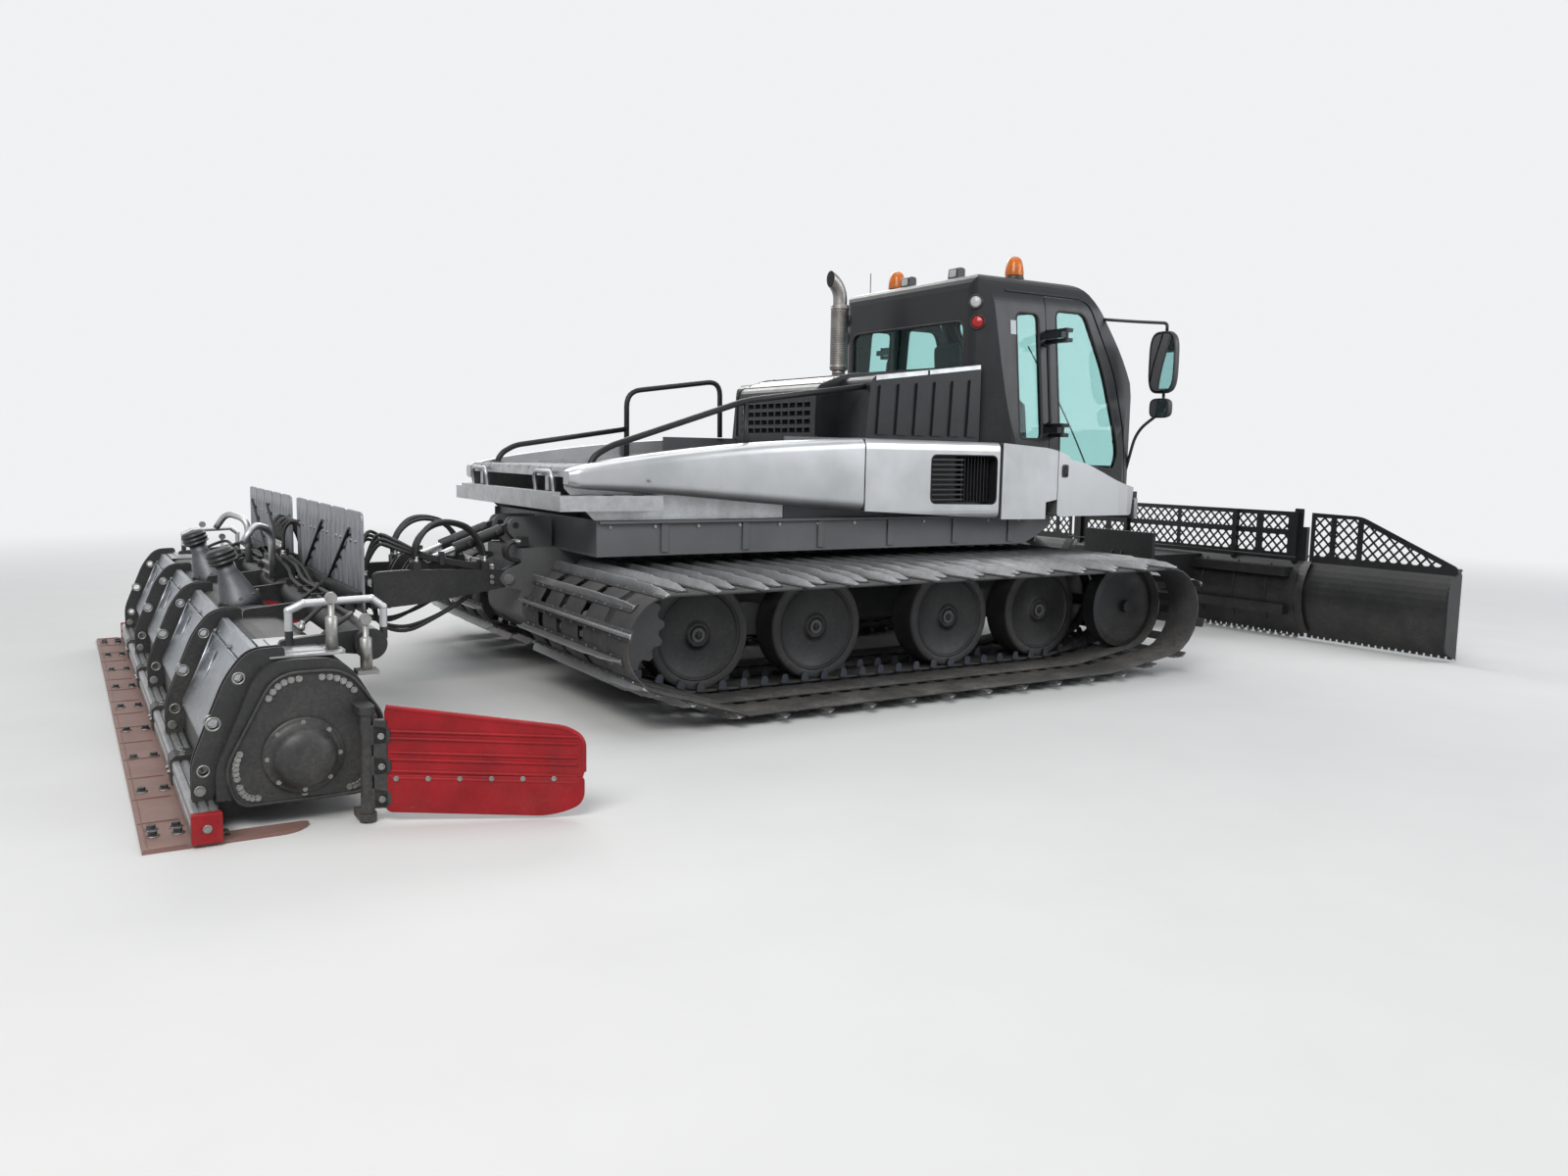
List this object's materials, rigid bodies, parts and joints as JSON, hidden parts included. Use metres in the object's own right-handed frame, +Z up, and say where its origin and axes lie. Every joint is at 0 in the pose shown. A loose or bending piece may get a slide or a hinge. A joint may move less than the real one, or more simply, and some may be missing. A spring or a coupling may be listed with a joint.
{
  "type": "snowcat groomer",
  "caption": "Tracked piste groomer with a glazed cab, silver side pods, a front blade with folding wings and a rear tiller that lifts and swings.",
  "frame": {"origin": "on the ground, midway along, across and under the whole machine", "axes": "+X forward, +Y to the left, +Z up"},
  "size_m": [9.24, 6.4306, 3.143],
  "materials": {
    "dark_frame": "dark grey paint on welded steel, worn and dusty",
    "engine_grey": "grey engine paint",
    "bare_aluminium": "bare aluminium, scratched and dusty",
    "black_panel": "black moulded panel",
    "exhaust_chrome": "chromed, a little heat stained",
    "silver_paint": "silver metallic paint",
    "black_paint": "black satin paint",
    "tinted_glass": "green tinted glass",
    "seat_fabric": "dark seat fabric and grey plastic",
    "black_plastic": "black moulded plastic",
    "amber_plastic": "amber lens",
    "rubber_belt": "black rubber belts with aluminium crossbars",
    "wheel_rubber": "solid rubber on a dark disc",
    "rod_chrome": "chromed piston rod",
    "mat_rubber": "brown grey worn finisher mat",
    "red_plastic": "red plastic, faded"
  },
  "bodies": {
    "root": {"chassis": "dark_frame", "engine_block": "engine_grey", "rear_deck": "bare_aluminium", "engine_hood": "black_panel", "exhaust": "exhaust_chrome", "cover_right": "black_panel", "cover_left": "black_panel", "pod_right": "silver_paint", "pod_left": "silver_paint", "side_panel_right": "silver_paint", "side_panel_left": "silver_paint", "fender_right": "silver_paint", "fender_left": "silver_paint", "nose": "silver_paint", "cab_shell": "black_paint", "cab_roof": "black_panel", "cab_glass": "tinted_glass", "seats": "seat_fabric", "dashboard": "black_plastic", "mirror_right": "black_plastic", "mirror_left": "black_plastic", "lamps": "amber_plastic", "rail_right": "black_paint", "rail_left": "black_paint", "track_right": "rubber_belt", "track_left": "rubber_belt", "wheels_right": "wheel_rubber", "wheels_left": "wheel_rubber", "tandem_right": "dark_frame", "tandem_left": "dark_frame", "sprocket_right": "dark_frame", "sprocket_left": "dark_frame", "idler_right": "wheel_rubber", "idler_left": "wheel_rubber"},
    "door_r": {"door_right": "black_paint", "door_glass_right": "tinted_glass"},
    "door_l": {"door_left": "black_paint", "door_glass_left": "tinted_glass"},
    "push": {"push_frame": "black_paint"},
    "yoke": {"blade_yoke": "black_paint"},
    "blade": {"blade_mid": "black_paint"},
    "wing_r": {"blade_wing_right": "black_paint"},
    "wing_l": {"blade_wing_left": "black_paint"},
    "blade_barrel": {"blade_barrels": "black_paint"},
    "blade_rod": {"blade_rods": "rod_chrome"},
    "arms": {"tiller_arms": "black_paint"},
    "tiller": {"tiller_frame": "black_paint", "tiller_hood": "black_paint", "finisher": "mat_rubber", "finisher_beam": "bare_aluminium", "snow_shields": "bare_aluminium"},
    "rotor": {"tiller_rotor": "dark_frame"},
    "side_r": {"side_wing_right": "red_plastic"},
    "side_l": {"side_wing_left": "red_plastic"},
    "tiller_barrel": {"tiller_barrels": "black_paint"},
    "tiller_rod": {"tiller_rods": "rod_chrome"}
  },
  "joints": [
    {"name": "door_right_hinge", "type": "hinge", "parent": "root", "child": "door_r", "pos_m": [1.76, -1.178, 1.2], "axis": [0, 0, 1], "range_deg": [-80, 0]},
    {"name": "door_left_hinge", "type": "hinge", "parent": "root", "child": "door_l", "pos_m": [1.76, 1.178, 1.2], "axis": [0, 0, 1], "range_deg": [0, 80]},
    {"name": "blade_lift", "type": "hinge", "parent": "root", "child": "push", "pos_m": [2.23, 0, 0.48], "axis": [0, 1, 0], "range_deg": [-25, 5]},
    {"name": "blade_angle", "type": "hinge", "parent": "push", "child": "yoke", "pos_m": [3.56, 0, 0.5], "axis": [0, 0, 1], "range_deg": [-20, 20]},
    {"name": "blade_tilt", "type": "hinge", "parent": "yoke", "child": "blade", "pos_m": [3.8, 0, 0.52], "axis": [1, 0, 0], "range_deg": [-6, 6]},
    {"name": "blade_wing_right", "type": "hinge", "parent": "blade", "child": "wing_r", "pos_m": [4.59, -1.4, 0.4], "axis": [0, 0, 1], "range_deg": [-12, 45]},
    {"name": "blade_wing_left", "type": "hinge", "parent": "blade", "child": "wing_l", "pos_m": [4.59, 1.4, 0.4], "axis": [0, 0, 1], "range_deg": [-45, 12]},
    {"name": "blade_barrel_turn", "type": "hinge", "parent": "root", "child": "blade_barrel", "pos_m": [2.15, 0, 1], "axis": [0, 1, 0], "range_deg": [-16.7, 3.4]},
    {"name": "blade_rod_travel", "type": "slide", "parent": "blade_barrel", "child": "blade_rod", "axis": [0.892, 0, -0.452], "range_m": [-0.201, 0.041]},
    {"name": "tiller_lift", "type": "hinge", "parent": "root", "child": "arms", "pos_m": [-2.34, 0, 0.72], "axis": [0, 1, 0], "range_deg": [-5, 25]},
    {"name": "tiller_swing", "type": "hinge", "parent": "arms", "child": "tiller", "pos_m": [-3.3, 0, 0.62], "axis": [0, 0, 1], "range_deg": [-10, 10]},
    {"name": "tiller_spin", "type": "hinge", "parent": "tiller", "child": "rotor", "pos_m": [-4.01, 0, 0.29], "axis": [0, 1, 0], "continuous": true},
    {"name": "side_wing_right", "type": "hinge", "parent": "tiller", "child": "side_r", "pos_m": [-3.78, -2.83, 0.2], "axis": [0, 0, 1], "range_deg": [-60, 10]},
    {"name": "side_wing_left", "type": "hinge", "parent": "tiller", "child": "side_l", "pos_m": [-3.78, 2.83, 0.2], "axis": [0, 0, 1], "range_deg": [-10, 60]},
    {"name": "tiller_barrel_turn", "type": "hinge", "parent": "root", "child": "tiller_barrel", "pos_m": [-2.24, 0, 1.06], "axis": [0, 1, 0], "range_deg": [-3.7, 18.1]},
    {"name": "tiller_rod_travel", "type": "slide", "parent": "tiller_barrel", "child": "tiller_rod", "axis": [-0.9363, 0, -0.3511], "range_m": [-0.135, 0.028]}
  ],
  "couplings": [
    {"joint": "blade_barrel_turn", "follows": "blade_lift", "ratio": 0.66625},
    {"joint": "blade_rod_travel", "follows": "blade_lift", "m_per_rad": 0.45762},
    {"joint": "tiller_barrel_turn", "follows": "tiller_lift", "ratio": 0.72176},
    {"joint": "tiller_rod_travel", "follows": "tiller_lift", "m_per_rad": -0.30567}
  ]
}
